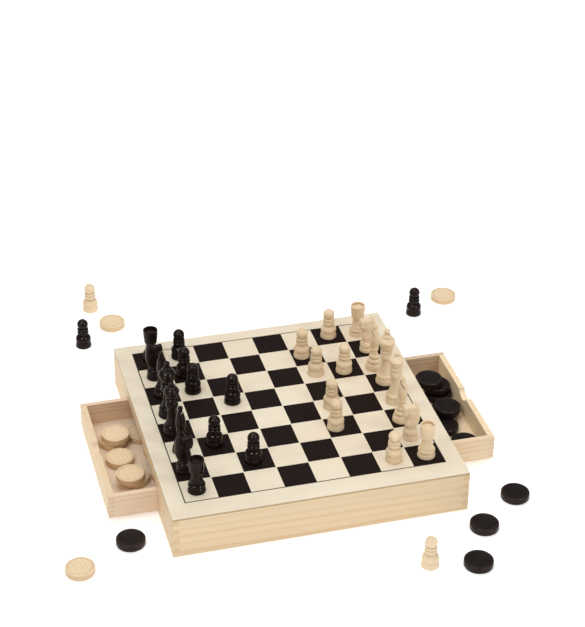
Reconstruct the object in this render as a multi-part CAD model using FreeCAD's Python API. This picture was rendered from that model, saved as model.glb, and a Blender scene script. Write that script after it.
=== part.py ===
import FreeCAD, Part
import math
import os

os.makedirs("parts", exist_ok=True)
Vector = FreeCAD.Vector

# Chess and draughts set. The box is a finger-jointed frame under a thin playing board, with a drawer
# in each end. The men stand on the board and round it, and most of the draughts lie in the drawers.
# Millimetres. Origin in the middle of the underside, X towards the white men, Y to the rear, Z up.

# Playing field and the plain border round it
square_size = 32.0
squares_across = 8
border_left = 17.0
border_right = 17.0
border_front = 22.5
border_rear = 15.5

# Box
wall_height = 42.0
wall_thickness = 6.5
board_thickness = 2.0
bottom_thickness = 4.2
corner_segments = 8

# Drawers, both alike
drawer_width = 157.0
drawer_height = 25.4
drawer_centre_y = -2.4
drawer_front_thickness = 6.0
drawer_back_thickness = 5.0
drawer_side_thickness = 5.0
drawer_floor_thickness = 2.5
drawer_segments = 11
scoop_width = 21.0
scoop_depth = 6.0
left_drawer_pulled_out = 48.2
right_drawer_pulled_out = 50.7

# What the drawers run in, and the play they have there
guide_width = 8.0
guide_height = 12.0
stop_thickness = 8.0
play_beside = 0.5
play_below = 0.3
play_above = 0.5
play_behind = 0.5

# Draughts
draught_diameter = 28.0
draught_height = 7.0
draught_edge_round = 0.8
draught_rim_width = 2.2
draught_hollow = 0.5
stack_gap = 0.1
draught_play = 0.3

# Share of the free width of a drawer that lies on the near side of its draughts
natural_near_share = 0.571
black_near_share = 0.156

# Turned men: the fine bottom edge of a foot ring, how far its side draws in, and the slope above it
foot_edge = 0.3
foot_round = 1.2
ledge_rise = 0.6

# Pawn, from the foot up
pawn_foot_diameter = 17.0
pawn_foot_height = 6.8
pawn_body_diameter = 16.0
pawn_body_height = 7.0
pawn_body_swell = 1.4
pawn_neck_diameter = 9.4
pawn_neck_height = 0.8
pawn_collar_diameter = 12.4
pawn_collar_height = 4.6
pawn_groove_diameter = 9.8
pawn_ring_diameter = 12.0
pawn_ring_height = 3.4
pawn_nape_diameter = 8.6
pawn_head_diameter = 11.8

# Rook
rook_foot_diameter = 17.6
rook_foot_height = 4.8
rook_base_diameter = 16.6
rook_base_height = 4.2
rook_cone_diameter = 14.0
rook_cone_height = 9.6
rook_cone_hollow = 0.5
rook_waist_diameter = 9.6
rook_cup_diameter = 13.2
rook_cup_foot_height = 3.6
rook_cup_foot_swell = 0.7
rook_cup_height = 10.0
rook_rim_diameter = 15.0
rook_rim_height = 2.6
rook_recess_diameter = 11.8
rook_recess_depth = 2.4

# Knight
knight_foot_diameter = 15.8
knight_foot_height = 5.2
knight_pedestal_diameter = 14.6
knight_pedestal_height = 5.6
knight_pedestal_swell = 0.8
knight_groove_diameter = 10.8
knight_groove_height = 3.2
knight_head_height = 26.4
knight_head_length = 17.0
knight_neck_thickness = 10.0
knight_ear_thickness = 5.0

# Bishop
bishop_foot_diameter = 17.6
bishop_foot_height = 7.0
bishop_base_foot_diameter = 11.8
bishop_base_diameter = 13.8
bishop_base_height = 5.0
bishop_ring_foot_diameter = 8.4
bishop_ring_diameter = 10.4
bishop_ring_height = 4.2
bishop_body_diameter = 8.0
bishop_body_height = 5.6
bishop_body_hollow = 0.2
bishop_neck_diameter = 6.8
bishop_collar_diameter = 9.0
bishop_collar_height = 2.8
bishop_head_foot_diameter = 7.6
bishop_head_diameter = 9.8
bishop_head_rise = 8.0
bishop_head_fall = 15.0
bishop_head_top_diameter = 3.6
bishop_ball_diameter = 5.2

# Queen
queen_foot_diameter = 19.4
queen_foot_height = 6.2
queen_shoulder_diameter = 17.6
queen_shoulder_height = 4.0
queen_shoulder_swell = 0.6
queen_hip_diameter = 14.4
queen_body_height = 18.4
queen_body_hollow = 1.2
queen_neck_diameter = 9.4
queen_collar_diameter = 12.4
queen_collar_height = 8.0
queen_groove_diameter = 9.4
queen_ring_diameter = 12.2
queen_ring_height = 4.2
queen_cup_foot_diameter = 9.8
queen_cup_height = 6.6
queen_cup_swell = 0.5
queen_cup_diameter = 14.2
queen_rim_diameter = 15.2
queen_rim_height = 2.2
queen_top_height = 3.2
queen_top_swell = 0.5
queen_dome_diameter = 8.0
queen_dome_height = 1.6
queen_dome_swell = 0.4
queen_finial_neck_diameter = 3.8
queen_ball_diameter = 5.0

# King
king_foot_diameter = 19.8
king_foot_height = 6.4
king_shoulder_diameter = 18.0
king_shoulder_height = 4.2
king_shoulder_swell = 0.7
king_hip_diameter = 14.6
king_body_height = 16.5
king_body_hollow = 1.2
king_neck_diameter = 9.8
king_collar_diameter = 12.8
king_collar_height = 8.2
king_groove_diameter = 9.8
king_ring_diameter = 12.6
king_ring_height = 3.4
king_cup_foot_diameter = 10.0
king_cup_height = 8.7
king_cup_swell = 0.6
king_cup_diameter = 16.4
king_rim_diameter = 17.4
king_rim_height = 2.2
king_top_height = 3.4
king_top_swell = 0.5
king_dome_diameter = 9.2
king_dome_height = 4.0
king_dome_swell = 0.9
king_tip_neck_diameter = 3.8
king_tip_neck_height = 0.6
king_tip_diameter = 6.0

# Sizes that follow from the ones above
box_length = border_left + squares_across * square_size + border_right
box_depth = border_front + squares_across * square_size + border_rear
box_right = box_length / 2
box_rear = box_depth / 2
inner_right = box_right - wall_thickness
inner_rear = box_rear - wall_thickness
board_top = wall_height + board_thickness
field_left = border_left - box_right
field_front = border_front - box_rear
drawer_near = drawer_centre_y - drawer_width / 2
drawer_far = drawer_centre_y + drawer_width / 2
opening_near = drawer_near - play_beside
opening_far = drawer_far + play_beside
drawer_under = bottom_thickness + play_below
drawer_top = drawer_under + drawer_height
opening_top = drawer_top + play_above
drawer_depth = box_right - stop_thickness / 2 - play_behind
left_drawer_face = box_right + left_drawer_pulled_out
right_drawer_face = box_right + right_drawer_pulled_out
drawer_floor_top = drawer_under + drawer_floor_thickness


def block(x_pair, y_pair, z_pair):
    """A rectangular piece between two x, two y and two z values, each pair in either order."""
    low = Vector(min(x_pair), min(y_pair), min(z_pair))
    high = Vector(max(x_pair), max(y_pair), max(z_pair))
    size = high - low
    return Part.makeBox(size.x, size.y, size.z, low)


def less_fingers(piece, corners, z_low, z_high, segments, first):
    """Cut every second segment out of a piece at its corners, where the crossing piece has its fingers."""
    step = (z_high - z_low) / segments
    slots = []
    for x_pair, y_pair in corners:
        for index in range(first, segments, 2):
            z_pair = (z_low + index * step, z_low + (index + 1) * step)
            slots.append(block(x_pair, y_pair, z_pair))
    return piece.cut(Part.makeCompound(slots))


class Turning:
    """Half outline of a piece from the lathe, drawn from the middle of its foot upwards."""

    def __init__(self, height=0.0):
        self.radius = 0.0
        self.height = height
        self.start = Vector(0, 0, height)
        self.edges = []

    def line(self, radius, rise=0.0):
        """Straight cut to a radius, a rise further up."""
        here = Vector(self.radius, 0, self.height)
        there = Vector(radius, 0, self.height + rise)
        self.edges.append(Part.makeLine(here, there))
        self.radius = radius
        self.height += rise

    def curve(self, radius, rise, swell):
        """Round cut to a radius; swell is how far it stands out from the straight line, or in if negative."""
        here = Vector(self.radius, 0, self.height)
        there = Vector(radius, 0, self.height + rise)
        across = there - here
        outward = Vector(across.z, 0, -across.x).normalize()
        middle = (here + there) * 0.5 + outward * swell
        self.edges.append(Part.Arc(here, middle, there).toShape())
        self.radius = radius
        self.height += rise

    def bead(self, diameter, rise, radius):
        """Rounded ring of a diameter that ends at a radius."""
        self.curve(radius, rise, diameter / 2 - (self.radius + radius) / 2)

    def upright(self, radius, rise):
        """Round cut that stands upright at its wider end, so that two of them meet smoothly there."""
        step = abs(radius - self.radius)
        chord = math.hypot(step, rise)
        bend = chord * chord / (2 * step)
        self.curve(radius, rise, bend - math.sqrt(bend * bend - chord * chord / 4))

    def ball(self, diameter):
        """Ball on top, closing at the middle."""
        ball_radius = diameter / 2
        centre = self.height + math.sqrt(ball_radius * ball_radius - self.radius * self.radius)
        here = Vector(self.radius, 0, self.height)
        side = Vector(ball_radius, 0, centre)
        tip = Vector(0, 0, centre + ball_radius)
        self.edges.append(Part.Arc(here, side, tip).toShape())
        self.radius = 0.0
        self.height = centre + ball_radius

    def foot(self, diameter, height):
        """Foot ring with a fine bottom edge and a side that draws in towards its top."""
        self.line(diameter / 2 - foot_edge)
        self.line(diameter / 2, foot_edge)
        self.upright(diameter / 2 - foot_round, height - foot_edge)

    def solid(self):
        """The whole piece, spun from the outline."""
        if self.radius > 0:
            self.line(0.0)
        self.edges.append(Part.makeLine(Vector(0, 0, self.height), self.start))
        half = Part.Face(Part.Wire(self.edges))
        return half.revolve(Vector(0, 0, 0), Vector(0, 0, 1), 360)


def make_draught():
    """One draught: a disc with a slightly raised rim on both faces."""
    edge = draught_diameter / 2 - draught_edge_round
    rim = draught_diameter / 2 - draught_rim_width
    quarter_swell = draught_edge_round * (1 - math.sqrt(0.5))
    turning = Turning(draught_hollow)
    turning.line(rim)
    turning.line(rim, -draught_hollow)
    turning.line(edge)
    turning.curve(draught_diameter / 2, draught_edge_round, quarter_swell)
    turning.line(draught_diameter / 2, draught_height - 2 * draught_edge_round)
    turning.curve(edge, draught_edge_round, quarter_swell)
    turning.line(rim)
    turning.line(rim, -draught_hollow)
    return turning.solid()


def make_pawn():
    turning = Turning()
    turning.foot(pawn_foot_diameter, pawn_foot_height)
    turning.line(pawn_body_diameter / 2, ledge_rise)
    turning.curve(pawn_neck_diameter / 2, pawn_body_height, pawn_body_swell)
    turning.line(pawn_neck_diameter / 2, pawn_neck_height)
    turning.bead(pawn_collar_diameter, pawn_collar_height, pawn_groove_diameter / 2)
    turning.bead(pawn_ring_diameter, pawn_ring_height, pawn_nape_diameter / 2)
    turning.ball(pawn_head_diameter)
    return turning.solid()


def make_rook():
    turning = Turning()
    turning.foot(rook_foot_diameter, rook_foot_height)
    turning.line(rook_base_diameter / 2 - foot_round, ledge_rise)
    turning.bead(rook_base_diameter, rook_base_height, rook_cone_diameter / 2 - ledge_rise)
    turning.line(rook_cone_diameter / 2, ledge_rise)
    turning.curve(rook_waist_diameter / 2, rook_cone_height, -rook_cone_hollow)
    turning.curve(rook_cup_diameter / 2, rook_cup_foot_height, rook_cup_foot_swell)
    turning.upright(rook_rim_diameter / 2, rook_cup_height)
    turning.line(rook_rim_diameter / 2, rook_rim_height)
    turning.line(rook_recess_diameter / 2)
    turning.line(rook_recess_diameter / 2, -rook_recess_depth)
    return turning.solid()


def make_bishop():
    turning = Turning()
    turning.foot(bishop_foot_diameter, bishop_foot_height)
    turning.line(bishop_base_foot_diameter / 2, ledge_rise)
    turning.bead(bishop_base_diameter, bishop_base_height, bishop_ring_foot_diameter / 2)
    turning.bead(bishop_ring_diameter, bishop_ring_height, bishop_body_diameter / 2)
    turning.curve(bishop_neck_diameter / 2, bishop_body_height, -bishop_body_hollow)
    turning.bead(bishop_collar_diameter, bishop_collar_height, bishop_head_foot_diameter / 2)
    turning.upright(bishop_head_diameter / 2, bishop_head_rise)
    turning.upright(bishop_head_top_diameter / 2, bishop_head_fall)
    turning.ball(bishop_ball_diameter)
    return turning.solid()


def make_queen():
    turning = Turning()
    turning.foot(queen_foot_diameter, queen_foot_height)
    turning.line(queen_shoulder_diameter / 2, ledge_rise)
    turning.curve(queen_hip_diameter / 2, queen_shoulder_height, queen_shoulder_swell)
    turning.curve(queen_neck_diameter / 2, queen_body_height, -queen_body_hollow)
    turning.bead(queen_collar_diameter, queen_collar_height, queen_groove_diameter / 2)
    turning.bead(queen_ring_diameter, queen_ring_height, queen_cup_foot_diameter / 2)
    turning.curve(queen_cup_diameter / 2, queen_cup_height, queen_cup_swell)
    turning.bead(queen_rim_diameter, queen_rim_height, queen_cup_diameter / 2)
    turning.curve(queen_dome_diameter / 2, queen_top_height, queen_top_swell)
    turning.curve(queen_finial_neck_diameter / 2, queen_dome_height, queen_dome_swell)
    turning.ball(queen_ball_diameter)
    return turning.solid()


def make_king():
    turning = Turning()
    turning.foot(king_foot_diameter, king_foot_height)
    turning.line(king_shoulder_diameter / 2, ledge_rise)
    turning.curve(king_hip_diameter / 2, king_shoulder_height, king_shoulder_swell)
    turning.curve(king_neck_diameter / 2, king_body_height, -king_body_hollow)
    turning.bead(king_collar_diameter, king_collar_height, king_groove_diameter / 2)
    turning.bead(king_ring_diameter, king_ring_height, king_cup_foot_diameter / 2)
    turning.curve(king_cup_diameter / 2, king_cup_height, king_cup_swell)
    turning.bead(king_rim_diameter, king_rim_height, king_cup_diameter / 2)
    turning.curve(king_dome_diameter / 2, king_top_height, king_top_swell)
    turning.curve(king_tip_neck_diameter / 2, king_dome_height, king_dome_swell)
    turning.line(king_tip_neck_diameter / 2, king_tip_neck_height)
    turning.ball(king_tip_diameter)
    return turning.solid()


def make_knight():
    """Turned foot, pedestal and groove with a carved horse's head on them, looking along X."""
    turning = Turning()
    turning.foot(knight_foot_diameter, knight_foot_height)
    turning.line(knight_pedestal_diameter / 2, ledge_rise)
    turning.curve(knight_pedestal_diameter / 2 - foot_round, knight_pedestal_height, knight_pedestal_swell)
    turning.line(knight_groove_diameter / 2)
    turning.line(knight_groove_diameter / 2, knight_groove_height)
    foot = turning.solid()
    seat = turning.height

    def side(along, up):
        return Vector((along - 0.53) * knight_head_length, 0, seat + up * knight_head_height)

    def front(half_thickness, up):
        return Vector(0, half_thickness, seat + up * knight_head_height)

    # Side view, from the back of the neck over the ear and the nose to the chest
    outline = [
        Part.Arc(side(0.20, -0.02), side(0.02, 0.39), side(0.10, 0.89)).toShape(),
        Part.makeLine(side(0.10, 0.89), side(0.28, 1.00)),
        Part.makeLine(side(0.28, 1.00), side(0.44, 0.92)),
        Part.Arc(side(0.44, 0.92), side(0.74, 0.91), side(1.01, 0.95)).toShape(),
        Part.Arc(side(1.01, 0.95), side(1.07, 0.71), side(1.00, 0.47)).toShape(),
        Part.Arc(side(1.00, 0.47), side(0.92, 0.43), side(0.84, 0.37)).toShape(),
        Part.Arc(side(0.84, 0.37), side(0.95, 0.15), side(0.86, -0.02)).toShape(),
        Part.makeLine(side(0.86, -0.02), side(0.20, -0.02)),
    ]
    reach = Vector(0, knight_neck_thickness, 0)
    slab = Part.Face(Part.Wire(outline))
    slab.translate(reach * -0.5)
    slab = slab.extrude(reach)

    # Front view: widest over the neck, drawn in towards the ears
    neck = knight_neck_thickness / 2
    ear = knight_ear_thickness / 2
    middle = ear + (neck - ear) * 0.7
    taper = [
        Part.Arc(front(-neck, -0.02), front(-middle, 0.6), front(-ear, 1.0)).toShape(),
        Part.makeLine(front(-ear, 1.0), front(ear, 1.0)),
        Part.Arc(front(ear, 1.0), front(middle, 0.6), front(neck, -0.02)).toShape(),
        Part.makeLine(front(neck, -0.02), front(-neck, -0.02)),
    ]
    reach = Vector(knight_head_length * 2, 0, 0)
    wedge = Part.Face(Part.Wire(taper))
    wedge.translate(reach * -0.5)
    wedge = wedge.extrude(reach)
    return foot.fuse(slab.common(wedge)).removeSplitter()


def export(shape, name):
    shape.exportStep("parts/" + name + ".step")


def set_down(shape, x, y, z, turn=0.0):
    """A copy of a man or draught, turned about its own axis and set down at a point."""
    copy = shape.copy()
    copy.rotate(Vector(0, 0, 0), Vector(0, 0, 1), turn)
    copy.translate(Vector(x, y, z))
    return copy


def place(shape, column, row, z, turn=0.0):
    """A piece set down at a place in squares from the front left corner of the playing field."""
    return set_down(shape, field_left + column * square_size, field_front + row * square_size, z, turn)


# Box: front and rear walls keep the even segments of the corners, the end walls the odd ones
left_span = (-box_right, -inner_right)
right_span = (inner_right, box_right)
front_span = (-box_rear, -inner_rear)
rear_span = (inner_rear, box_rear)
full_length = (-box_right, box_right)
full_depth = (-box_rear, box_rear)
full_height = (0.0, wall_height)

for name, span in (("front_wall", front_span), ("rear_wall", rear_span)):
    corners = [(left_span, span), (right_span, span)]
    wall = block(full_length, span, full_height)
    export(less_fingers(wall, corners, 0.0, wall_height, corner_segments, 1), name)

opening_span = (opening_near, opening_far)
for name, span in (("left_end_wall", left_span), ("right_end_wall", right_span)):
    corners = [(span, front_span), (span, rear_span)]
    wall = block(span, full_depth, full_height)
    wall = less_fingers(wall, corners, 0.0, wall_height, corner_segments, 0)
    export(wall.cut(block(span, opening_span, (0.0, opening_top))), name)

export(block(full_length, full_depth, (wall_height, board_top)), "top_board")

# The bottom lies between the walls and runs out under each drawer to the face of the box
panel = block((-inner_right, inner_right), (-inner_rear, inner_rear), (0.0, bottom_thickness))
runway = block(full_length, opening_span, (0.0, bottom_thickness))
export(panel.fuse(runway).removeSplitter(), "bottom_panel")

guide_span = (-inner_right, inner_right)
guide_rise = (bottom_thickness, bottom_thickness + guide_height)
near_guide = block(guide_span, (opening_near, opening_near - guide_width), guide_rise)
far_guide = block(guide_span, (opening_far, opening_far + guide_width), guide_rise)
export(Part.makeCompound([near_guide, far_guide]), "guide_strips")

stop_span = (-stop_thickness / 2, stop_thickness / 2)
export(block(stop_span, opening_span, (bottom_thickness, wall_height)), "centre_stop")

# Drawers: the sides keep the even segments of the corners, the front and the back the odd ones
near_span = (drawer_near, drawer_near + drawer_side_thickness)
far_span = (drawer_far, drawer_far - drawer_side_thickness)
inside_span = (near_span[1], far_span[1])
inside_width = max(inside_span) - min(inside_span)
drawer_rise = (drawer_under, drawer_top)
scoop_radius = (scoop_width * scoop_width / 4 + scoop_depth * scoop_depth) / (2 * scoop_depth)

for side, prefix, face in ((-1, "left_drawer_", left_drawer_face), (1, "right_drawer_", right_drawer_face)):
    rear_face = face - drawer_depth
    front_x = (side * face, side * (face - drawer_front_thickness))
    back_x = (side * rear_face, side * (rear_face + drawer_back_thickness))
    whole_x = (front_x[0], back_x[0])

    front = block(front_x, (drawer_near, drawer_far), drawer_rise)
    corners = [(front_x, near_span), (front_x, far_span)]
    front = less_fingers(front, corners, drawer_under, drawer_top, drawer_segments, 0)
    scoop_start = Vector(min(front_x), drawer_centre_y, drawer_top - scoop_depth + scoop_radius)
    scoop = Part.makeCylinder(scoop_radius, drawer_front_thickness, scoop_start, Vector(1, 0, 0))
    export(front.cut(scoop), prefix + "front")

    back = block(back_x, (drawer_near, drawer_far), drawer_rise)
    corners = [(back_x, near_span), (back_x, far_span)]
    export(less_fingers(back, corners, drawer_under, drawer_top, drawer_segments, 0), prefix + "back")

    for name, span in (("near_side", near_span), ("far_side", far_span)):
        board = block(whole_x, span, drawer_rise)
        corners = [(front_x, span), (back_x, span)]
        board = less_fingers(board, corners, drawer_under, drawer_top, drawer_segments, 1)
        export(board, prefix + name)

    floor_x = (front_x[1], back_x[1])
    export(block(floor_x, inside_span, (drawer_under, drawer_floor_top)), prefix + "floor")

# Men on the board: name, shape, and place in squares from the front left corner of the field
pawn = make_pawn()
rook = make_rook()
knight = make_knight()
bishop = make_bishop()
queen = make_queen()
king = make_king()
men_on_board = [
    ("black_rook_1", rook, 0.46, 0.50),
    ("black_knight_1", knight, 0.30, 1.50),
    ("black_bishop_1", bishop, 0.43, 2.50),
    ("black_queen", queen, 0.38, 3.50),
    ("black_king", king, 0.44, 4.44),
    ("black_bishop_2", bishop, 0.47, 5.50),
    ("black_knight_2", knight, 0.43, 6.53),
    ("black_rook_2", rook, 0.54, 7.59),
    ("black_pawn_1", pawn, 2.42, 1.47),
    ("black_pawn_2", pawn, 1.48, 2.58),
    ("black_pawn_3", pawn, 2.53, 4.62),
    ("black_pawn_4", pawn, 1.46, 5.50),
    ("black_pawn_5", pawn, 1.39, 6.45),
    ("black_pawn_6", pawn, 1.45, 7.50),
    ("white_rook_1", rook, 7.54, 0.46),
    ("white_knight_1", knight, 7.35, 1.44),
    ("white_bishop_1", bishop, 7.37, 2.38),
    ("white_queen", queen, 7.49, 3.41),
    ("white_king", king, 7.53, 4.52),
    ("white_bishop_2", bishop, 7.40, 5.35),
    ("white_knight_2", knight, 7.50, 6.40),
    ("white_rook_2", rook, 7.46, 7.38),
    ("white_pawn_1", pawn, 6.52, 0.50),
    ("white_pawn_2", pawn, 5.29, 2.50),
    ("white_pawn_3", pawn, 5.47, 3.60),
    ("white_pawn_4", pawn, 5.50, 5.50),
    ("white_pawn_5", pawn, 6.42, 5.41),
    ("white_pawn_6", pawn, 5.33, 6.58),
    ("white_pawn_7", pawn, 6.50, 7.50),
]
for name, shape, column, row in men_on_board:
    turn = 180.0 if name.startswith("white") else 0.0
    export(place(shape, column, row, board_top, turn), name)

# Pieces on the table, placed in the same way
draught = make_draught()
pieces_on_table = [
    ("white_pawn_8", pawn, -0.54, 13.19),
    ("white_pawn_9", pawn, 6.60, -2.87),
    ("black_pawn_7", pawn, -1.16, 10.99),
    ("black_pawn_8", pawn, 10.43, 10.18),
    ("natural_draught_1", draught, 0.00, 11.95),
    ("natural_draught_2", draught, 11.76, 10.84),
    ("natural_draught_3", draught, -3.25, -0.66),
    ("black_draught_1", draught, -1.60, 0.24),
    ("black_draught_2", draught, 10.14, -0.49),
    ("black_draught_3", draught, 8.72, -1.65),
    ("black_draught_4", draught, 7.97, -3.21),
]
for name, shape, column, row in pieces_on_table:
    export(place(shape, column, row, 0.0), name)

# Draughts in the drawers: distance in from the drawer front and over from the nearest draught, both in
# draughts, and layer
natural_places = [
    (0.16, 2.52, 0),
    (0.26, 2.43, 1),
    (0.21, 1.36, 0),
    (0.52, 0.15, 0),
    (0.33, 0.00, 1),
    (1.20, 2.67, 0),
    (1.59, 1.56, 0),
    (1.57, 0.16, 0),
    (2.63, 2.13, 0),
]
black_places = [
    (0.01, 3.12, 0),
    (0.03, 3.33, 1),
    (0.30, 3.40, 2),
    (0.10, 2.10, 0),
    (0.10, 1.88, 1),
    (0.43, 1.13, 0),
    (0.08, 0.00, 0),
    (1.38, 1.83, 0),
]
groups = [
    ("natural_draughts_in_drawer", natural_places, natural_near_share, -1, left_drawer_face),
    ("black_draughts_in_drawer", black_places, black_near_share, 1, right_drawer_face),
]
for name, places, near_share, side, face in groups:
    heap_width = (max(over for inward, over, layer in places) + 1) * draught_diameter
    heap_near = min(inside_span) + (inside_width - heap_width) * near_share
    heap = []
    for inward, over, layer in places:
        x = side * (face - drawer_front_thickness - draught_play - (inward + 0.5) * draught_diameter)
        y = heap_near + (over + 0.5) * draught_diameter
        z = drawer_floor_top + layer * (draught_height + stack_gap)
        heap.append(set_down(draught, x, y, z))
    export(Part.makeCompound(heap), name)
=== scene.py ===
# %% [markdown]
# # Dressing a chess and draughts set
# The real thing is a shallow wooden box. Its lid is the playing board, a drawer slides out of each end, and
# turned chessmen and draughts stand on it, in it and round it. The shapes are already exact: they come packed
# from the CAD model. What is left for Blender is everything that makes wood look like wood: grain, print,
# lacquer, tool marks and light. We load the packed model first.

# %% Load the packed model
import math

import bmesh
import bpy
from mathutils import Euler, Matrix, Vector


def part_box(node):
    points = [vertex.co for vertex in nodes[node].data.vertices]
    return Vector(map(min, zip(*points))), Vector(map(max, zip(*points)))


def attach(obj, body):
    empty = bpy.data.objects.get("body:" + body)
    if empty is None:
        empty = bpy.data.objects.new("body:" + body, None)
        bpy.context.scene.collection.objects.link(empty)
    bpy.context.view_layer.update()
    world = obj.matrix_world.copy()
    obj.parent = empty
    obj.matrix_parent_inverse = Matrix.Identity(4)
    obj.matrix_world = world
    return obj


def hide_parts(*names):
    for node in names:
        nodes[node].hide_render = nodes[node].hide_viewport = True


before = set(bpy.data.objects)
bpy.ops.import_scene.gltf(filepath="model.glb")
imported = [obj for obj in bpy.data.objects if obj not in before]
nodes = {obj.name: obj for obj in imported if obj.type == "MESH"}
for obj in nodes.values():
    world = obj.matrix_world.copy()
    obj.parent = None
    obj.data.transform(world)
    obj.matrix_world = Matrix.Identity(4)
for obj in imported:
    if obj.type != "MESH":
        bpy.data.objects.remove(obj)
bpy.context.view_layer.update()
scene = bpy.context.scene

# %% [markdown]
# ## Looking at it
# The camera decides which details matter, so it comes before any material. A long lens from well above the
# front, a little to the left, shows the board as a calm, nearly parallel shape. We could aim the camera with
# a constraint, but a place and three angles are easier to read, and they stay the same in every run.

# %% Camera
view = bpy.data.cameras.new("product_camera")
view.sensor_fit = "HORIZONTAL"
view.sensor_width = 36.0
view.lens = 112.64
camera = bpy.data.objects.new("product_camera", view)
camera.location = (-0.3952, -1.4408, 1.1080)
camera.rotation_euler = Euler((math.radians(57.492), math.radians(-0.681), math.radians(-15.197)), "XYZ")
scene.collection.objects.link(camera)
scene.camera = camera
print("camera:", view.lens, "mm lens,", round(camera.location.length, 2), "m from the box")

# %% [markdown]
# ## Table and light
# A product table is a white sheet under a large soft light. The sheet is the only thing here that isn't part
# of the set. A wide lamp overhead makes the faint, wide shadows, two smaller ones
# in front round off the shapes, and pale surroundings fill in the rest. With each small lamp goes a highlight
# card that adds no light to matt surfaces: it only puts the small bright spots on the black lacquer. The
# sheet is lit from below as well, as on a light table: that keeps it white and brightens all upright faces.
# The plain colour transform keeps the sheet white: a film-like one would turn it grey.

# %% Table, lamps and surroundings
scene.view_settings.view_transform = "Standard"
scene.view_settings.look = "None"

sheet_reach = 4
sheet_drop = 0.0002
sheet_glow = 0.36
surroundings_strength = 0.40

sheet_corners = [(-sheet_reach, -sheet_reach, 0), (sheet_reach, -sheet_reach, 0),
                 (sheet_reach, sheet_reach, 0), (-sheet_reach, sheet_reach, 0)]
sheet_mesh = bpy.data.meshes.new("white_sheet")
sheet_mesh.from_pydata(sheet_corners, [], [(0, 1, 2, 3)])
sheet = bpy.data.objects.new("white_sheet", sheet_mesh)
sheet.location.z = -sheet_drop
scene.collection.objects.link(sheet)

surroundings = bpy.data.worlds.new("white_studio")
surroundings.use_nodes = True
background = surroundings.node_tree.nodes["Background"]
background.inputs["Color"].default_value = (1.0, 1.0, 1.0, 1.0)
background.inputs["Strength"].default_value = surroundings_strength
scene.world = surroundings


def add_lamp(name, place, size, watts):
    """A square soft lamp at a place, turned towards the middle of the box."""
    light = bpy.data.lights.new(name, "AREA")
    light.size = size
    light.energy = watts
    lamp = bpy.data.objects.new(name, light)
    lamp.location = place
    lamp.rotation_euler = (-Vector(place)).to_track_quat("-Z", "Y").to_euler()
    scene.collection.objects.link(lamp)
    return lamp


right_place, left_place = (1.0, -1.3, 1.3), (-1.1, -0.9, 1.6)
add_lamp("overhead_softbox", (-0.1, 0.4, 1.9), size=1.7, watts=22)
add_lamp("right_softbox", right_place, size=0.40, watts=7)
add_lamp("left_softbox", left_place, size=0.30, watts=6)
for name, place in (("right_highlight_card", right_place), ("left_highlight_card", left_place)):
    add_lamp(name, place, size=0.40, watts=26).visible_diffuse = False

# %% [markdown]
# ## Writing materials as sums
# A node tree drawn by hand is hard to repeat. Here a socket is wrapped in a small class, so that the sum
# `ring * 0.5 + 1` adds the Math nodes by itself. All other nodes come from one method, which takes the node's
# type, its settings and what goes into its sockets. The finishes below then read like recipes.

# %% A socket that can be calculated with
class Value:
    """A number that changes over a surface. Sums on it add Math nodes to its finish."""

    def __init__(self, finish, socket):
        self.finish = finish
        self.socket = socket

    def maths(self, operation, first, second=0.0):
        return self.finish.node("ShaderNodeMath", {"operation": operation}, {0: first, 1: second})

    def __add__(self, other):
        return self.maths("ADD", self, other)

    def __sub__(self, other):
        return self.maths("SUBTRACT", self, other)

    def __rsub__(self, other):
        return self.maths("SUBTRACT", other, self)

    def __mul__(self, other):
        return self.maths("MULTIPLY", self, other)

    def __truediv__(self, other):
        return self.maths("DIVIDE", self, other)

    def __pow__(self, other):
        return self.maths("POWER", self, other)

    def __gt__(self, other):
        return self.maths("GREATER_THAN", self, other)

    def __lt__(self, other):
        return self.maths("LESS_THAN", self, other)

    def __mod__(self, other):
        return self.maths("FLOORED_MODULO", self, other)

    def __abs__(self):
        return self.maths("ABSOLUTE", self)

    def sine(self):
        return self.maths("SINE", self)

    def whole(self):
        return self.maths("FLOOR", self)

    def least(self, other):
        return self.maths("MINIMUM", self, other)

    def most(self, other):
        return self.maths("MAXIMUM", self, other)

    __radd__ = __add__


print("besides the plain sums:", [name for name in vars(Value) if not name.startswith("_")])


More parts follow.
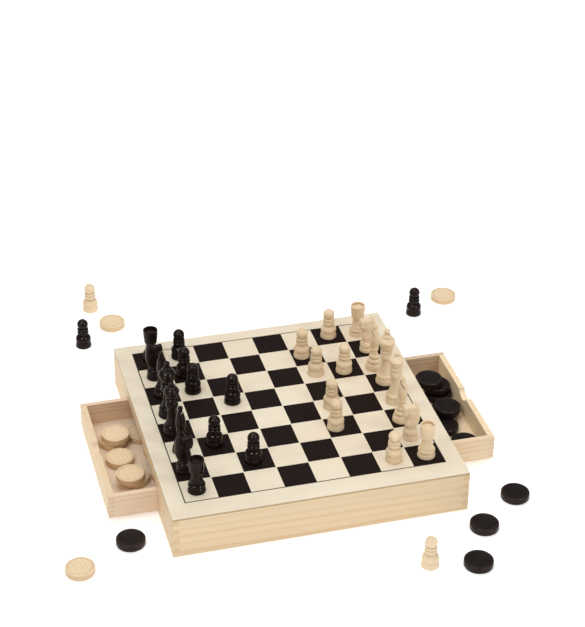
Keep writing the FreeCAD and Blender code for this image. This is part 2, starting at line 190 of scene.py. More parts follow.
# %% A finish: one material and the nodes in it
class Finish:
    """A material with one method for every node and a few short recipes on top of it."""

    def __init__(self, name):
        self.material = bpy.data.materials.new(name)
        self.material.use_nodes = True
        self.tree = self.material.node_tree
        self.tree.nodes.clear()
        self.output = self.tree.nodes.new("ShaderNodeOutputMaterial")

    def node(self, kind, settings=None, sockets=None, result=0):
        """Add a node, set it up, fill or link its sockets, and return one of its outputs."""
        made = self.tree.nodes.new(kind)
        for name, setting in (settings or {}).items():
            setattr(made, name, setting)
        for name, value in (sockets or {}).items():
            socket = made.inputs[name]
            if isinstance(value, Value):
                self.tree.links.new(value.socket, socket)
            elif isinstance(value, tuple) and socket.type == "RGBA":
                socket.default_value = (*value, 1.0)
            else:
                socket.default_value = value
        return Value(self, made.outputs[result])

    def place(self):
        """The place of a point on its own piece, in metres, as one vector and as three numbers."""
        vector = self.node("ShaderNodeTexCoord", result="Object")
        return vector, self.parts(vector)

    def parts(self, vector):
        apart = self.node("ShaderNodeSeparateXYZ", sockets={"Vector": vector})
        return [Value(self, apart.socket.node.outputs[axis]) for axis in range(3)]

    def facing(self):
        """Which way the surface faces, as three numbers."""
        geometry = self.node("ShaderNodeNewGeometry", result="Normal")
        local = self.node("ShaderNodeVectorTransform", {"vector_type": "NORMAL", "convert_from": "WORLD",
                                                        "convert_to": "OBJECT"}, {"Vector": geometry})
        return self.parts(local)

    def stretch(self, vector, scale, shift=(0.0, 0.0, 0.0)):
        return self.node("ShaderNodeMapping", {"vector_type": "POINT"},
                         {"Vector": vector, "Scale": scale, "Location": shift})

    def noise(self, vector, scale, detail=2.0, roughness=0.5):
        return self.node("ShaderNodeTexNoise", {"noise_dimensions": "3D"},
                         {"Vector": vector, "Scale": scale, "Detail": detail, "Roughness": roughness})

    def blend(self, share, first, second):
        """A colour between two colours."""
        return self.node("ShaderNodeMix", {"data_type": "RGBA"}, {0: share, 6: first, 7: second}, 2)

    def shade(self, colour, amount):
        """A colour times a number."""
        grey = self.node("ShaderNodeCombineColor", sockets={0: amount, 1: amount, 2: amount})
        return self.node("ShaderNodeMix", {"data_type": "RGBA", "blend_type": "MULTIPLY"},
                         {0: 1.0, 6: colour, 7: grey}, 2)

    def ramp_up(self, value, low, high):
        """0 below low, 1 above high, and a soft rise between."""
        return self.node("ShaderNodeMapRange", {"interpolation_type": "SMOOTHSTEP"},
                         {"Value": value, "From Min": low, "From Max": high})

    def relief(self, height, depth, strength, rounding=0.0):
        """Small heights on the surface, and rounded edges where a rounding is given."""
        sockets = {"Height": height, "Distance": depth, "Strength": strength}
        if rounding:
            sockets["Normal"] = self.node("ShaderNodeBevel", {"samples": 4}, {"Radius": rounding})
        return self.node("ShaderNodeBump", sockets=sockets)

    def worn_edge(self, radius):
        """1 along the edges of a board and 0 on its faces."""
        rounded = self.node("ShaderNodeBevel", {"samples": 4}, {"Radius": radius})
        straight = self.node("ShaderNodeNewGeometry", result="True Normal")
        likeness = self.node("ShaderNodeVectorMath", {"operation": "DOT_PRODUCT"}, {0: rounded, 1: straight},
                             "Value")
        return self.ramp_up(likeness, 0.995, 0.80)

    def groove(self, reach):
        """1 deep in a groove and 0 on an open face, looking no further than a reach."""
        open_share = self.node("ShaderNodeAmbientOcclusion", {"samples": 8, "only_local": True},
                               {"Distance": reach}, "AO")
        return self.ramp_up(open_share, 0.92, 0.45)

    def surface(self, **sockets):
        """The shader itself. Names of sockets are written with _ for a space."""
        return self.node("ShaderNodeBsdfPrincipled",
                         sockets={name.replace("_", " "): value for name, value in sockets.items()})

    def done(self, shader):
        self.tree.links.new(shader.socket, self.output.inputs["Surface"])
        print("finish:", self.material.name, "with", len(self.tree.nodes), "nodes")
        return self.material


def dress(material, *names):
    """Give CAD pieces a finish."""
    for name in names:
        piece = nodes[name]
        if not piece.material_slots:
            piece.data.materials.append(material)
        for slot in piece.material_slots:
            slot.material = material


print("a finish can:", [name for name in vars(Finish) if not name.startswith("_")])

# %% White sheet
white = Finish("white_sheet")
spot, _ = white.place()
cloud = white.noise(spot, 0.8)
white_tone = white.blend(cloud, (0.93, 0.93, 0.93), (0.95, 0.95, 0.95))
sheet_mesh.materials.append(white.done(white.surface(
    Base_Color=white_tone, Roughness=0.9, Specular_IOR_Level=0.1,
    Emission_Color=white_tone, Emission_Strength=sheet_glow)))

# %% [markdown]
# ## Sawn boards
# A board is a slice of a tree, so its grain should be too: we think of the tree's rings as tubes round a far
# heart line and ask how far each point is from it. On the faces that gives long lines, on the sawn ends it
# gives arcs, and finger joints show both at once without any extra work. Noise stretched along the grain
# bends the lines, and finer noise draws the fibres. A picture of wood could not do this on every side.

# %% Growth lines
def growth_lines(finish, vector, spots, grain, heart, spacing, line_share):
    """Lines of late wood, fine fibres and soft patches, all drawn out along the grain."""
    across = [axis for axis in range(3) if axis != grain]
    long_scale = [9.0, 9.0, 9.0]
    long_scale[grain] = 1.6
    fibre_scale = [900.0, 900.0, 900.0]
    fibre_scale[grain] = 14.0
    drift = finish.noise(finish.stretch(vector, long_scale), 1.0, 3.0) - 0.5
    sway = finish.noise(finish.stretch(vector, [value * 5 for value in long_scale]), 1.0, 2.0) - 0.5
    fibre = finish.noise(finish.stretch(vector, fibre_scale), 1.0, 3.0, 0.6)
    from_heart = ((spots[across[0]] - heart[0]) ** 2.0 + (spots[across[1]] - heart[1]) ** 2.0) ** 0.5
    ring = from_heart / spacing + drift * 2.6 + sway * 0.35
    band = ring % 1.0
    season = finish.noise(finish.node("ShaderNodeCombineXYZ", sockets={"X": ring.whole() * 3.7}), 1.0, 0.0)
    line = finish.ramp_up(band, 0.45, 0.93) * finish.ramp_up(band, 1.0, 0.94)
    patch = finish.noise(finish.stretch(vector, long_scale, (3.0, 1.0, 2.0)), 2.0, 2.0)
    line = line * finish.ramp_up(season, 0.25, 0.75) * (0.4 + patch * line_share)
    return line, fibre, patch


along_x, along_y = 0, 1
print("grain runs along axis", along_x, "on long boards and axis", along_y, "on short ones")


# %% Recipe for a sawn board
def sawn_wood(name, grain, heart, spacing, tones, line_share, edge_speckle):
    """Board wood with its grain along an axis and its heart line at two places on the others.

    The tones are for the early wood, the late wood and the sawn ends."""
    early, late, end_tone = tones
    wear_radius, line_relief, edge_rounding = 0.0007, 0.0003, 0.0005
    finish = Finish(name)
    vector, spots = finish.place()
    line, fibre, patch = growth_lines(finish, vector, spots, grain, heart, spacing, line_share)
    colour = finish.blend(line, early, late)
    colour = finish.shade(colour, 0.93 + fibre * 0.14)
    colour = finish.shade(colour, 0.96 + patch * 0.08)

    faces = finish.facing()
    end = finish.ramp_up(abs(faces[grain]), 0.6, 0.8)
    pores = finish.noise(vector, 1600.0, 2.0)
    end_colour = finish.shade(finish.blend(line * 0.6, end_tone, late), 0.90 + pores * 0.20)
    colour = finish.blend(end, colour, end_colour)
    speckle = finish.ramp_up(finish.noise(finish.stretch(vector, (330.0, 330.0, 60.0)), 1.0, 2.0), 0.46, 0.66)
    top_edge = finish.ramp_up(faces[2], 0.6, 0.8)
    colour = finish.blend(speckle * top_edge * edge_speckle, colour, end_tone)
    colour = finish.blend(finish.worn_edge(wear_radius) * 0.35, colour, early)

    height = fibre * 0.6 - line * 0.4 + pores * end * 0.8
    return finish.done(finish.surface(
        Base_Color=colour,
        Roughness=0.42 + fibre * 0.16 + end * 0.15,
        Specular_IOR_Level=0.35,
        Normal=finish.relief(height, line_relief, 0.35, edge_rounding)))


wall_end = (0.72, 0.52, 0.30)
warm_early, warm_late = (0.81, 0.62, 0.39), (0.74, 0.49, 0.24)
pine = ((0.785, 0.61, 0.395), (0.67, 0.43, 0.21), wall_end)
warm_pine = (warm_early, warm_late, wall_end)
long_pine = sawn_wood("long_wall_pine", along_x, heart=(-0.09, -0.035), spacing=0.0062, tones=pine,
                      line_share=1.0, edge_speckle=0.0)
end_pine = sawn_wood("end_wall_pine", along_y, heart=(0.02, -0.06), spacing=0.0058, tones=warm_pine,
                     line_share=0.75, edge_speckle=0.0)
dress(long_pine, "front_wall", "rear_wall", "guide_strips")
dress(end_pine, "left_end_wall", "right_end_wall", "centre_stop")

# %% [markdown]
# The drawers are made of whatever thin wood was at hand, so their boards differ in tone and grain. All of
# them could share one finish, but then they would look cast in one piece. Each kind of board gets its own
# tones, heart line and ring spacing from one list, and the left and the right drawer take different kinds.
# The right drawer's far side has strong grain, and its darker tone over all is painted shade.

# %% Woods of the drawers
drawer_end = (0.75, 0.56, 0.39)
pink = ((0.84, 0.65, 0.48), (0.74, 0.51, 0.34), drawer_end)
lined = ((0.80, 0.59, 0.42), (0.50, 0.29, 0.16), drawer_end)
warm = (warm_early, warm_late, drawer_end)
pale = ((0.93, 0.75, 0.49), (0.84, 0.60, 0.33), drawer_end)
ply = ((0.82, 0.66, 0.50), (0.76, 0.57, 0.40), drawer_end)
sand = ((0.82, 0.65, 0.45), (0.73, 0.51, 0.30), drawer_end)
# Painted shade: the far side of the right drawer is toned darker than its wood.
shaded_lined = ((0.68, 0.51, 0.35), (0.40, 0.25, 0.14), drawer_end)
woods = {}
for name, grain, heart, spacing, tones, line_share, edge_speckle in (
        ("drawer_side_wood", along_x, (-0.05, -0.05), 0.0050, pink, 0.6, 0.5),
        ("lined_drawer_side_wood", along_x, (0.07, -0.03), 0.0046, lined, 1.2, 0.5),
        ("drawer_end_wood", along_y, (0.03, -0.04), 0.0054, warm, 0.75, 0.8),
        ("drawer_floor_ply", along_y, (0.4, -0.35), 0.012, ply, 0.75, 0.0),
        ("sand_drawer_side_wood", along_x, (-0.05, -0.06), 0.0053, sand, 0.7, 0.5),
        ("dusk_drawer_side_wood", along_x, (0.07, -0.03), 0.0049, shaded_lined, 1.2, 0.5),
        ("pale_drawer_end_wood", along_y, (-0.04, -0.05), 0.0057, pale, 0.75, 0.6),
        ("sand_drawer_floor_ply", along_y, (0.4, -0.35), 0.012, sand, 0.75, 0.0)):
    woods[name] = sawn_wood(name, grain, heart, spacing, tones, line_share, edge_speckle)

# %% Finishes on the drawers
dress(woods["drawer_floor_ply"], "bottom_panel")
for drawer, near, far, end, floor in (
        ("left_drawer", "drawer_side_wood", "lined_drawer_side_wood", "drawer_end_wood", "drawer_floor_ply"),
        ("right_drawer", "sand_drawer_side_wood", "dusk_drawer_side_wood", "pale_drawer_end_wood",
         "sand_drawer_floor_ply")):
    dress(woods[near], drawer + "_near_side")
    dress(woods[far], drawer + "_far_side")
    dress(woods[end], drawer + "_front", drawer + "_back")
    dress(woods[floor], drawer + "_floor")
    print(drawer + ":", near, far, end, floor)

# %% [markdown]
# ## The playing board
# The board is pale veneer with dark squares printed on it and a thin line round the field. It could be cut
# into 64 small tiles, but print has no thickness, so a calculated pattern is closer to the real thing. Whole
# numbers of squares from the field's corner say which square a point is in. Print and veneer reflect
# differently, so they are two shaders, mixed by the pattern.

# %% Board with printed squares
square = 0.032
half_field = 4.0
field_shift = 0.0035
field_left = -half_field * square
field_front = field_left + field_shift
print_gap, border_width = 0.0003, 0.0012
fine_relief, board_rounding = 0.0002, 0.0004

board = Finish("printed_veneer_board")
vector, (x, y, _) = board.place()
fibre = board.noise(board.stretch(vector, (16.0, 700.0, 700.0)), 1.0, 3.0, 0.6)
figure = board.noise(board.stretch(vector, (5.0, 30.0, 30.0)), 1.0, 3.0)
cloud = board.noise(vector, 24.0, 3.0)
veneer = board.blend(board.ramp_up(figure, 0.3, 0.7), (0.82, 0.73, 0.57), (0.78, 0.67, 0.51))
veneer = board.shade(veneer, 0.92 + fibre * 0.16)
veneer = board.shade(veneer, 0.94 + cloud * 0.12)
faces = board.facing()
upward = faces[2] > 0.5
edge_tone = board.shade((0.52, 0.36, 0.20), 0.8 + fibre * 0.4)
veneer = board.blend(upward, edge_tone, veneer)

column = (x - field_left) / square
row = (y - field_front) / square
aside, ahead = abs(column - half_field), abs(row - half_field)
inside = (aside < half_field) * (ahead < half_field)
dark = ((column.whole() + row.whole()) % 2.0) > 0.5
from_middle = abs(column % 1.0 - 0.5).most(abs(row % 1.0 - 0.5))
dark = dark * (from_middle < 0.5 - print_gap / square)
half_border = border_width / square / 2
near_edge = abs(aside - half_field).least(abs(ahead - half_field)) < half_border
within_border = (aside < half_field + half_border) * (ahead < half_field + half_border)
border = near_edge * within_border
ragged = board.noise(vector, 2600.0, 2.0)
print_share = (inside * dark).most(border * 0.95) * upward
ink = board.shade((0.0120, 0.0062, 0.0048), 0.75 + ragged * 0.5)
bare_surface = board.surface(Base_Color=veneer, Roughness=0.42 + fibre * 0.14, Specular_IOR_Level=0.3,
                             Normal=board.relief(fibre, fine_relief, 0.25, board_rounding))
ink_surface = board.surface(Base_Color=ink, Roughness=0.50 + cloud * 0.12, Specular_IOR_Level=0.06,
                            Normal=board.relief(fibre + ragged * 0.4, fine_relief, 0.3))
printed = board.node("ShaderNodeMixShader", sockets={0: print_share, 1: bare_surface, 2: ink_surface})
dress(board.done(printed), "top_board")

# %% [markdown]
# ## Turned men
# Chessmen come off a lathe with their grain upright. Seen from the side that gives fine upright streaks, and
# where the tool has cut across, on the heads and ledges, the end grain drinks more of the finish and turns
# darker. The grooves are browned as painted shade, and the tool leaves very fine rings. The black men
# have the same wood under a thick gloss lacquer that fills the grain, so they get their life from
# reflections, and the lacquer is a coat over a dark ground.

# %% Natural men
def turned_wood(name, pale, warm, polish, shine):
    """Wood off the lathe, with upright grain, darker end grain and grooves browned as painted shade."""
    tool_rings, groove_reach, groove_shade_brown = 12000.0, 0.004, (0.42, 0.22, 0.085)
    finish = Finish(name)
    vector, spots = finish.place()
    streak = finish.noise(finish.stretch(vector, (420.0, 420.0, 26.0)), 1.0, 3.0, 0.6)
    tone = finish.noise(finish.stretch(vector, (34.0, 34.0, 7.0)), 1.0, 2.0)
    ripple = (spots[2] * tool_rings + streak * 3.0).sine()
    faces = finish.facing()
    across = finish.ramp_up(abs(faces[2]), 0.45, 0.95)
    colour = finish.blend(finish.ramp_up(tone, 0.3, 0.7), pale, warm)
    colour = finish.shade(colour, 0.92 + streak * 0.16)
    colour = finish.shade(colour, 1.0 - across * 0.10)
    # Painted shade: brown is blended in wherever the groove mask finds the surface enclosed.
    colour = finish.blend(finish.groove(groove_reach) * (1.0 - across) * 0.65, colour, groove_shade_brown)
    height = streak * 0.6 + ripple * 0.25
    return finish.done(finish.surface(
        Base_Color=colour, Roughness=polish + streak * 0.12, Specular_IOR_Level=shine,
        Normal=finish.relief(height, fine_relief, 0.3)))


natural_men = [name for name in nodes if name.startswith("white_")]
natural_turned_wood = turned_wood("natural_turned_wood", pale=(0.87, 0.69, 0.46), warm=(0.82, 0.62, 0.39),
                                  polish=0.46, shine=0.3)
dress(natural_turned_wood, *natural_men)

# %% Black men
def black_lacquer(name, ground, polish, coat, shine):
    """Gloss lacquer over a dark ground, with a little dust in it."""
    tool_rings, dust_tone = 9000.0, (0.20, 0.17, 0.15)
    finish = Finish(name)
    vector, spots = finish.place()
    streak = finish.noise(finish.stretch(vector, (300.0, 300.0, 30.0)), 1.0, 2.0)
    flow = finish.noise(vector, 110.0, 2.0)
    dust = finish.ramp_up(finish.noise(vector, 900.0, 3.0), 0.62, 0.80)
    ripple = (spots[2] * tool_rings).sine()
    colour = finish.blend(flow, ground, tuple(value * 1.9 for value in ground))
    colour = finish.blend(dust * 0.06, colour, dust_tone)
    height = streak * 0.5 + flow * 0.5 + ripple * 0.1
    return finish.done(finish.surface(
        Base_Color=colour, Roughness=polish + flow * 0.08, Coat_Weight=coat, Coat_Roughness=0.08,
        Specular_IOR_Level=shine, Normal=finish.relief(height, fine_relief, 0.25)))


black_men = [name for name in nodes if name.startswith("black_") and "draught" not in name]
black_gloss_lacquer = black_lacquer("black_gloss_lacquer", ground=(0.0085, 0.0040, 0.0030), polish=0.13,
                                    coat=0.08, shine=0.11)
dress(black_gloss_lacquer, *black_men)

# %% [markdown]
# ## Shapes from the lathe
# Draughts and the feet of the knights are turned, so each is one outline spun round an axis. A Screw modifier
# could spin it, but a short loop over the outline and the turns writes the same mesh at once. Each piece is
# made round its own middle and then set down. That way its grain and tool rings go with it, which a mesh
# with its place built in could not offer.

# %% Outline and lathe helpers
millimetre = 0.001


def softened(outline, radius, steps=4):
    """An outline with each inner corner rounded off; all in millimetres."""
    rounded = [Vector(outline[0])]
    for before, corner, after in zip(outline, outline[1:], outline[2:]):
        corner = Vector(corner)
        back, on = Vector(before) - corner, Vector(after) - corner
        reach = min(radius, back.length * 0.45, on.length * 0.45)
        first, last = corner + back.normalized() * reach, corner + on.normalized() * reach
        for step in range(steps + 1):
            share = step / steps
            rounded.append(first.lerp(corner, share).lerp(corner.lerp(last, share), share))
    return rounded + [Vector(outline[-1])]


def skin(mesh, rows):
    """Faces between closed rows of points that follow one another."""
    for lower, upper in zip(rows, rows[1:]):
        for turn in range(len(lower)):
            after = (turn + 1) % len(lower)
            mesh.faces.new((lower[turn], lower[after], upper[after], upper[turn]))


def lathe(mesh, outline, turns=72):
    """Spin an outline of (radius, height) round the upright axis; both ends lie on the axis."""
    angles = [2 * math.pi * turn / turns for turn in range(turns)]
    rings = []
    for radius, height in outline[1:-1]:
        rings.append([mesh.verts.new((radius * math.cos(angle), radius * math.sin(angle), height))
                      for angle in angles])
    skin(mesh, rings)
    bottom, top = mesh.verts.new((0, 0, outline[0][1])), mesh.verts.new((0, 0, outline[-1][1]))
    for turn in range(turns):
        after = (turn + 1) % turns
        mesh.faces.new((bottom, rings[0][after], rings[0][turn]))
        mesh.faces.new((top, rings[-1][turn], rings[-1][after]))


def finish_mesh(name, mesh, material, crease=50):
    """Turn a mesh in millimetres into smooth mesh data in metres."""
    bmesh.ops.scale(mesh, vec=(millimetre, millimetre, millimetre), verts=mesh.verts)
    bmesh.ops.recalc_face_normals(mesh, faces=mesh.faces)
    data = bpy.data.meshes.new(name)
    mesh.to_mesh(data)
    mesh.free()
    data.shade_smooth()
    data.set_sharp_from_angle(angle=math.radians(crease))
    data.materials.append(material)
    print("mesh:", name, len(data.polygons), "faces")
    return data


def set_down(name, data, place, turn, body, node):
    """A piece at its place, riding on a body and standing for a CAD node."""
    piece = bpy.data.objects.new(name, data)
    piece.location = place
    piece.rotation_euler.z = turn
    scene.collection.objects.link(piece)
    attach(piece, body)
    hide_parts(node)


print("a softened corner has", len(softened([(0, 0), (1, 0), (1, 1)], 0.2)) - 2, "points")

# %% [markdown]
# ## Draughts
# A draught is a disc with a shallow dish in both faces, so that the rim takes the wear and a second one
# stacks on it. The blanks are cut from plank, so the grain runs across the face, and each blank has a
# different piece of it: the finish moves the grain by a number that Blender keeps for each object.

# %% Grain of the draughts and the natural ones
def draught_grain(finish):
    """Growth lines across a disc, different on every disc, with the rings the tool leaves in the dish."""
    ring_spacing, tool_rings, dish_reach = 0.0030, 9000.0, 0.0116
    heart_aside, heart_spread, heart_below = 0.030, 0.02, 0.02
    vector, (x, y, z) = finish.place()
    own = finish.node("ShaderNodeObjectInfo", result="Random")
    shift = finish.node("ShaderNodeCombineXYZ", sockets={"X": own * 3.0, "Y": own * 7.0, "Z": own * 5.0})
    moved = finish.node("ShaderNodeVectorMath", {"operation": "ADD"}, {0: vector, 1: shift})
    drift = finish.noise(finish.stretch(moved, (30.0, 90.0, 90.0)), 1.0, 2.0) - 0.5
    fibre = finish.noise(finish.stretch(moved, (60.0, 1100.0, 1100.0)), 1.0, 3.0, 0.6)
    from_heart = ((y - heart_aside - own * heart_spread) ** 2.0 + (z + heart_below) ** 2.0) ** 0.5
    band = (from_heart / ring_spacing + drift * 3.2) % 1.0
    line = finish.ramp_up(band, 0.35, 0.9) * finish.ramp_up(band, 1.0, 0.9)
    radius = (x * x + y * y) ** 0.5
    tool = (radius * tool_rings).sine() * (radius < dish_reach)
    return own, fibre, line, tool, radius


wear_radius = 0.0006
dish_edge, rim_edge = (0.0102, 0.0113), (0.0127, 0.0118)
plank = Finish("natural_draught_wood")
own, fibre, line, tool, radius = draught_grain(plank)
tone = plank.blend(own, (0.85, 0.69, 0.47), (0.81, 0.63, 0.41))
tone = plank.blend(line * 0.30, tone, (0.68, 0.44, 0.21))
tone = plank.shade(tone, 0.92 + fibre * 0.16)
upright = 1.0 - abs(plank.facing()[2])
# Painted shade: the upright sides of each disc are blended towards brown.
tone = plank.blend(plank.ramp_up(upright, 0.5, 0.95) * 0.5, tone, (0.62, 0.42, 0.23))
# Painted shade: a darker ring in the corner where the dish meets the rim.
corner = plank.ramp_up(radius, *dish_edge) * plank.ramp_up(radius, *rim_edge) * (1.0 - upright)
tone = plank.blend(corner * 0.45, tone, (0.58, 0.37, 0.19))
tone = plank.blend(plank.worn_edge(wear_radius) * 0.3, tone, (0.88, 0.74, 0.52))
draught_wood = plank.done(plank.surface(
    Base_Color=tone, Roughness=0.44 + fibre * 0.14, Specular_IOR_Level=0.3,
    Normal=plank.relief(fibre * 0.6 + tool * 0.25, fine_relief, 0.3)))

# %% Black draughts
rim_sheen_rise = (0.0108, 0.0122)
stain = Finish("black_draught_lacquer")
own, fibre, line, tool, radius = draught_grain(stain)
tone = stain.blend(line, (0.0125, 0.0064, 0.0052), (0.0165, 0.0090, 0.0072))
tone = stain.shade(tone, 0.75 + own * 0.5)
# Painted sheen: the dish is darker and the rim lighter, partly also the wear the rim takes.
tone = stain.shade(tone, 0.55 + stain.ramp_up(radius, *rim_sheen_rise) * 0.95)
tone = stain.blend(stain.worn_edge(wear_radius) * 0.10, tone, (0.16, 0.11, 0.07))
draught_lacquer = stain.done(stain.surface(
    Base_Color=tone, Roughness=0.30 + fibre * 0.16, Specular_IOR_Level=0.125,
    Normal=stain.relief(fibre * 0.6 + tool * 0.3, fine_relief, 0.3)))

# %% Draught meshes
dished = [(0, 0.5), (11.3, 0.5), (12.0, 0.06), (13.2, 0.0), (14.0, 0.8),
          (14.0, 6.2), (13.2, 7.0), (12.0, 6.94), (11.3, 6.5), (0, 6.5)]
dish_softness = 0.45
draught_data = {}
for colour, material in (("natural", draught_wood), ("black", draught_lacquer)):
    disc = bmesh.new()
    lathe(disc, softened(dished, dish_softness))
    draught_data[colour] = finish_mesh(colour + "_draught", disc, material)

# %% Draughts on the table
turn_between = 2.4
loose = [name for name in nodes if "_draught_" in name]
for count, name in enumerate(sorted(loose)):
    low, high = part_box(name)
    colour = name.split("_")[0]
    place = ((low[0] + high[0]) / 2, (low[1] + high[1]) / 2, low[2])
    set_down(name + "_turned", draught_data[colour], place, turn_between * count, name + "_body", name)
print("draughts on the table:", len(loose))

# %% [markdown]
# The draughts in a drawer are one CAD node, a heap of separate discs. The same places are written here as
# there: how far in from the drawer front and how far over from the nearest disc, both counted in discs, and
# the layer. The heap's own box in the CAD model tells where to count from.

# %% Draughts in the drawers
disc_width, layer_height = 0.0280, 0.0071
first_turn, heap_turn_between = 0.4, 1.9
natural_places = [(0.16, 2.52, 0), (0.26, 2.43, 1), (0.21, 1.36, 0), (0.52, 0.15, 0), (0.33, 0.00, 1),
                  (1.20, 2.67, 0), (1.59, 1.56, 0), (1.57, 0.16, 0), (2.63, 2.13, 0)]
black_places = [(0.01, 3.12, 0), (0.03, 3.33, 1), (0.30, 3.40, 2), (0.10, 2.10, 0), (0.10, 1.88, 1),
                (0.43, 1.13, 0), (0.08, 0.00, 0), (1.38, 1.83, 0)]
for colour, places, drawer in (("natural", natural_places, "left_drawer"),
                               ("black", black_places, "right_drawer")):
    node = colour + "_draughts_in_drawer"
    low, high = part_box(node)
    nearest_front = min(inward for inward, over, layer in places)
    for count, (inward, over, layer) in enumerate(places):
        step = (inward - nearest_front + 0.5) * disc_width
        across = low[0] + step if drawer == "left_drawer" else high[0] - step
        place = (across, low[1] + (over + 0.5) * disc_width, low[2] + layer * layer_height)
        turn = heap_turn_between * count + first_turn
        set_down("%s_%d" % (node, count + 1), draught_data[colour], place, turn, drawer, node)
    print(node, len(places))

# %% [markdown]
# ## Carved knights
# The knight is the only man that doesn't come off the lathe whole. Its foot does; the blunt head is sawn from
# a small block and carved. We lay a row of ribs from the mane to the front of the head, bend it along the
# neck and out to the muzzle, and swell each rib into a rounded section. Sculpting by hand could give this
# shape too, but not the same one every time. The cuts of the knife are then pushed in or pulled out of that
# skin: eyes, nostrils, mouth, cheek and the notched mane.

# %% Ribs of the head
mane_line = [(0.27, -0.03), (0.17, 0.03), (0.08, 0.15), (0.025, 0.39), (0.045, 0.68), (0.12, 0.885),
             (0.28, 0.945), (0.46, 0.925), (0.66, 0.915), (0.86, 0.93), (1.00, 0.94), (1.05, 0.85)]
throat_line = [(0.78, -0.03), (0.88, 0.03), (0.94, 0.10), (0.94, 0.20), (0.90, 0.29), (0.855, 0.345),
               (0.84, 0.375), (0.86, 0.40), (0.89, 0.42), (0.93, 0.435), (0.99, 0.47), (1.045, 0.57)]
half_widths = [3.8, 4.9, 5.0, 4.7, 4.2, 3.9, 3.8, 3.8, 3.6, 3.4, 3.2, 2.7]
head_length, head_height, head_seat = 17.0, 26.4, 14.6
axis_share, nose_share = 0.53, 0.54


def along_curve(values, share):
    """A smooth curve through a row of values, at a share of its length."""
    place = share * (len(values) - 1)
    index = min(int(place), len(values) - 2)
    part = place - index
    before, first = values[max(index - 1, 0)], values[index]
    second, after = values[index + 1], values[min(index + 2, len(values) - 1)]
    bend = 2 * before - 5 * first + 4 * second - after
    twist = 3 * (first - second) + after - before
    return first + 0.5 * part * (second - before + part * (bend + part * twist))


print("ribs:", len(mane_line), "head:", head_length, "x", head_height, "mm")


# %% Knife cuts
def swell(distance, radius):
    """1 in the middle of a round spot and 0 outside it, with a soft slope."""
    share = max(0.0, 1 - (distance / radius) ** 2)
    return share * share


def knife(along, up, from_mane):
    """How far the side of the head is raised or cut at a point, in millimetres."""
    spot = Vector((along * head_length, up * head_height))
    eye = Vector((0.58 * head_length, 0.79 * head_height))
    from_eye = (spot - eye).length
    cut = 0.55 * swell(from_eye, 1.2) - 0.45 * swell(from_eye, 2.3)
    nostril = Vector((0.97 * head_length, 0.76 * head_height))
    cut -= 0.75 * swell((spot - nostril).length, 0.95)
    cheek, cheek_radius = Vector((0.54 * head_length, 0.58 * head_height)), 4.6
    from_cheek = (spot - cheek).length
    cut += 0.75 * swell(from_cheek, cheek_radius)
    if from_cheek > cheek_radius and up < 0.60:
        cut -= 0.60 * swell(from_cheek - cheek_radius, 0.9)
    if along > 0.80:
        from_mouth = abs(up - 0.600 - (along - 0.9) * 0.15) * head_height
        cut -= 0.90 * swell(from_mouth, 0.60)
    if from_mane < 0.24 and up < 0.90:
        cut += 0.35 - 0.45 * abs(math.sin((up * 11 + from_mane * 5) * math.pi)) ** 4
    return cut


print("eye raised by", round(knife(0.58, 0.79, 0.5), 2), "mm")


# %% Head and ears
def carve_head(mesh, steps=110, turns=64):
    """The skin of the head: bent ribs, each swelled into a rounded section and cut with the knife."""
    front_roundness, side_roundness, nose_bulge = 0.75, 0.62, 0.5
    rows = []
    for step in range(steps + 1):
        share = step / steps
        back = Vector([along_curve([point[axis] for point in mane_line], share) for axis in (0, 1)])
        front = Vector([along_curve([point[axis] for point in throat_line], share) for axis in (0, 1)])
        width = along_curve(half_widths, share)
        row = []
        for turn in range(turns):
            angle = 2 * math.pi * turn / turns
            level, side = -math.cos(angle), math.sin(angle)
            level = math.copysign(abs(level) ** front_roundness, level)
            side = math.copysign(abs(side) ** side_roundness, side)
            spot = back.lerp(front, 0.5 + 0.5 * level)
            flank = abs(side) ** 2
            reach = width * side + math.copysign(knife(spot.x, spot.y, 0.5 + 0.5 * level) * flank, side)
            ahead = (spot.x - axis_share) * head_length
            row.append(mesh.verts.new((ahead, reach, head_seat + spot.y * head_height)))
        rows.append(row)
    skin(mesh, rows)
    mesh.faces.new(rows[0])
    last_middle = sum((vert.co for vert in rows[-1]), Vector()) / turns
    nose = mesh.verts.new(last_middle + Vector((nose_bulge, 0, 0)))
    for turn in range(turns):
        mesh.faces.new((nose, rows[-1][turn], rows[-1][(turn + 1) % turns]))


def carve_ear(mesh, side, steps=8, turns=16):
    """One pointed ear with a hollow in its front."""
    ear_place, root_height, ear_height = 0.30, 0.925, 0.072
    root_radius, tip_radius, from_middle = 1.45, 0.12, 1.9
    hollow_share, hollow_angle = 0.45, 0.9
    rows = []
    for step in range(steps):
        share = step / (steps - 1)
        size = root_radius * (1 - share) ** 0.75 + tip_radius
        middle = Vector(((ear_place - axis_share) * head_length + 0.5 * share,
                         side * (from_middle + 0.3 * share),
                         head_seat + (root_height + ear_height * share) * head_height))
        row = []
        for turn in range(turns):
            angle = 2 * math.pi * turn / turns
            in_front = min(angle, 2 * math.pi - angle) < hollow_angle
            hollow = hollow_share if in_front else 1.0
            around = Vector((size * hollow * math.cos(angle), 0.75 * size * math.sin(angle), 0))
            row.append(mesh.verts.new(middle + around))
        rows.append(row)
    skin(mesh, rows)
    mesh.faces.new(rows[0])
    mesh.faces.new(rows[-1])


trial = bmesh.new()
carve_ear(trial, 1)
print("an ear has", len(trial.verts), "points")
trial.free()

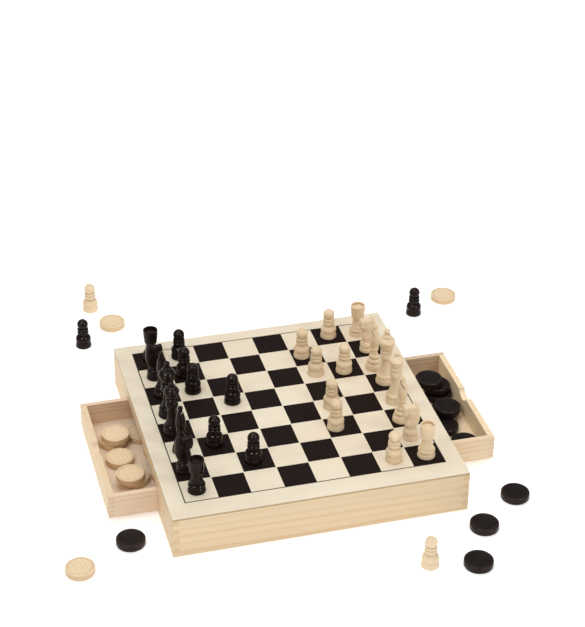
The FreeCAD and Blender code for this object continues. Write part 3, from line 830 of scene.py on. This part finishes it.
# %% Knights at their places
knight_foot = [(0, 0), (7.6, 0), (7.9, 0.3), (7.85, 2.2), (7.5, 4.0), (6.7, 5.2), (7.3, 5.8), (7.5, 8.4),
               (6.7, 10.8), (6.1, 11.4), (5.4, 11.6), (5.4, head_seat), (0, head_seat)]
foot_softness = 0.7
nose_reach = nose_share * head_length * millimetre
men_finish = {"white": (natural_turned_wood, "natural_wood"), "black": (black_gloss_lacquer, "black_lacquer")}
for colour, (material, slot) in men_finish.items():
    knight = bmesh.new()
    carve_head(knight)
    carve_ear(knight, -1)
    carve_ear(knight, 1)
    lathe(knight, softened(knight_foot, foot_softness))
    data = finish_mesh(colour + "_knight", knight, material, crease=60)
    for number in (1, 2):
        name = "%s_knight_%d" % (colour, number)
        low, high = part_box(name)
        middle = (low[1] + high[1]) / 2
        across = low[0] + nose_reach if colour == "white" else high[0] - nose_reach
        turn = math.pi if colour == "white" else 0.0
        set_down(name + "_carved", data, (across, middle, low[2]), turn, name + "_body", name)

# %% [markdown]
# ## Saw cuts
# A bishop's head is a mitre, which the maker shows with one slanting saw cut. A dark line in the finish could
# stand for it, but the cut also shows as a notch in the outline. So a thin blade is taken out of a copy of
# the turned shape by a Boolean modifier: one step does what the saw does.

# %% Saw cuts in the bishops
blade_reach, blade_width, blade_thickness = 0.0110, 0.0200, 0.0010
blade_past_axis = 0.0029
cut_height = 0.0422
cut_slope = math.radians(57)
cut_crease = math.radians(50)
cut_turns = {"black_bishop_1": 2.6, "black_bishop_2": 0.4, "white_bishop_1": -0.265, "white_bishop_2": -0.8}


def saw_blade(place, turn):
    """A thin block that slants down through a place and a little past it."""
    blade = bmesh.new()
    bmesh.ops.create_cube(blade, size=1.0)
    bmesh.ops.scale(blade, vec=(blade_reach, blade_width, blade_thickness), verts=blade.verts)
    bmesh.ops.translate(blade, vec=(blade_past_axis - blade_reach / 2, 0, 0), verts=blade.verts)
    swing = Matrix.Rotation(turn, 3, "Z") @ Matrix.Rotation(cut_slope, 3, "Y")
    bmesh.ops.rotate(blade, cent=(0, 0, 0), matrix=swing, verts=blade.verts)
    data = bpy.data.meshes.new("saw_blade")
    blade.to_mesh(data)
    blade.free()
    saw = bpy.data.objects.new("saw_blade", data)
    saw.location = place
    scene.collection.objects.link(saw)
    return saw


for name, turn in cut_turns.items():
    low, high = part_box(name)
    saw = saw_blade(((low[0] + high[0]) / 2, (low[1] + high[1]) / 2, low[2] + cut_height), turn)
    piece = bpy.data.objects.new(name + "_sawn", nodes[name].data.copy())
    piece.matrix_world = nodes[name].matrix_world
    scene.collection.objects.link(piece)
    piece.modifiers.new("saw_cut", "BOOLEAN").object = saw
    sawn = bpy.data.meshes.new_from_object(piece.evaluated_get(bpy.context.evaluated_depsgraph_get()))
    piece.modifiers.clear()
    piece.data = sawn
    bpy.data.objects.remove(saw)
    sawn.shade_smooth()
    sawn.set_sharp_from_angle(angle=cut_crease)
    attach(piece, name + "_body")
    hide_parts(name)
    print("sawn:", name, len(nodes[name].data.polygons), "->", len(sawn.polygons), "faces")

# %% [markdown]
# ## Size of the set
# A box taken by the corners of each piece counts a turned disc as a turned square, so a box round the dressed
# set comes out a few millimetres wider than the discs really reach.
